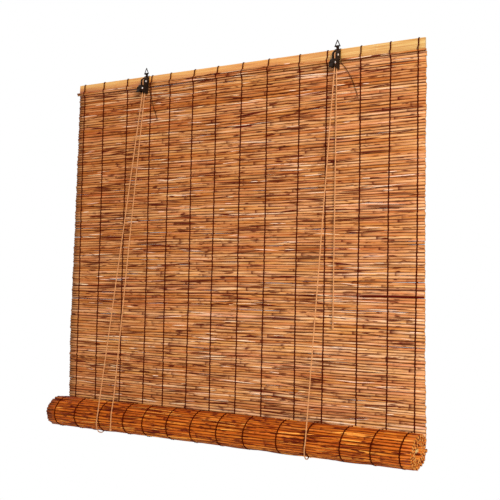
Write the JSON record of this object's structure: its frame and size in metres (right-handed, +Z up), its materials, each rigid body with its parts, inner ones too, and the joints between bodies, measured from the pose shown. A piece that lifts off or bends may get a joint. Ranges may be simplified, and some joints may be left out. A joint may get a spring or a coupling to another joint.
{
  "type": "bamboo reed roll-up blind",
  "caption": "Roll-up window blind of woven bamboo reeds on a headrail slat, drawn up part way by lift cords that run through cord locks with hanging rings.",
  "frame": {"origin": "at mid width, on the line through the inner tops of the two hanging rings, where the hooks bear", "axes": "+X along the headrail to the viewer's right, -Y the front that faces the room, +Z up"},
  "size_m": [1.012, 0.1002, 0.9536],
  "materials": {
    "cane_slat": "split bamboo cane, satin",
    "reed": "stained bamboo reed, satin",
    "warp_thread": "dark twisted cotton",
    "lock_steel": "dark bronze lacquer on stamped steel",
    "ring_wire": "dull grey steel wire",
    "rivet_steel": "bright riveted steel",
    "lift_cord": "twisted jute-coloured cotton cord",
    "tie_twine": "dark waxed twine"
  },
  "bodies": {
    "rings": {"left_hanging_ring": "ring_wire", "right_hanging_ring": "ring_wire"},
    "blind": {"headrail": "cane_slat", "reed_mat": "reed", "warp_threads": "warp_thread", "left_lock_housing": "lock_steel", "right_lock_housing": "lock_steel", "left_pulley_pin": "rivet_steel", "right_pulley_pin": "rivet_steel", "left_cam_pin": "rivet_steel", "right_cam_pin": "rivet_steel", "left_tie_lashing": "tie_twine", "right_tie_lashing": "tie_twine", "left_tie_tail": "tie_twine", "right_tie_tail": "tie_twine", "left_anchor_knot": "lift_cord", "right_anchor_knot": "lift_cord", "left_pull_cord": "lift_cord", "right_pull_cord": "lift_cord", "left_tail_knot": "lift_cord", "right_tail_knot": "lift_cord"},
    "lift_cords": {"left_lift_cord": "lift_cord", "right_lift_cord": "lift_cord"},
    "roll": {"reed_roll": "reed", "roll_threads": "warp_thread", "bottom_batten": "cane_slat"},
    "left_pulley": {"left_pulley": "lock_steel"},
    "right_pulley": {"right_pulley": "lock_steel"},
    "left_lock_cam": {"left_lock_cam": "lock_steel"},
    "right_lock_cam": {"right_lock_cam": "lock_steel"}
  },
  "joints": [
    {"name": "hang_swing", "type": "hinge", "parent": "rings", "child": "blind", "pos_m": [0, 0, -0.01181], "axis": [1, 0, 0], "range_deg": [-30, 30]},
    {"name": "roll_lift", "type": "slide", "parent": "blind", "child": "lift_cords", "axis": [0, 0, 1], "range_m": [0, 0.7257], "deforming": ["reed_mat", "warp_threads", "left_lift_cord", "right_lift_cord", "left_pull_cord", "right_pull_cord", "left_tail_knot", "right_tail_knot"]},
    {"name": "roll_turn", "type": "hinge", "parent": "lift_cords", "child": "roll", "pos_m": [0, -0.0323, -0.902], "axis": [1, 0, 0], "range_deg": [-1080, 0]},
    {"name": "left_pulley_turn", "type": "hinge", "parent": "blind", "child": "left_pulley", "pos_m": [-0.263, -0.0075, -0.034], "axis": [1, 0, 0], "continuous": true},
    {"name": "right_pulley_turn", "type": "hinge", "parent": "blind", "child": "right_pulley", "pos_m": [0.288, -0.0075, -0.034], "axis": [1, 0, 0], "continuous": true},
    {"name": "left_cam_release", "type": "hinge", "parent": "blind", "child": "left_lock_cam", "pos_m": [-0.263, -0.022, -0.055], "axis": [1, 0, 0], "range_deg": [0, 30], "stiffness_Nm_per_rad": 0.01, "springref_deg": -45.84},
    {"name": "right_cam_release", "type": "hinge", "parent": "blind", "child": "right_lock_cam", "pos_m": [0.288, -0.022, -0.055], "axis": [1, 0, 0], "range_deg": [0, 30], "stiffness_Nm_per_rad": 0.01, "springref_deg": -45.84}
  ],
  "couplings": [
    {"joint": "roll_turn", "follows": "roll_lift", "rad_per_m": -25.974}
  ]
}
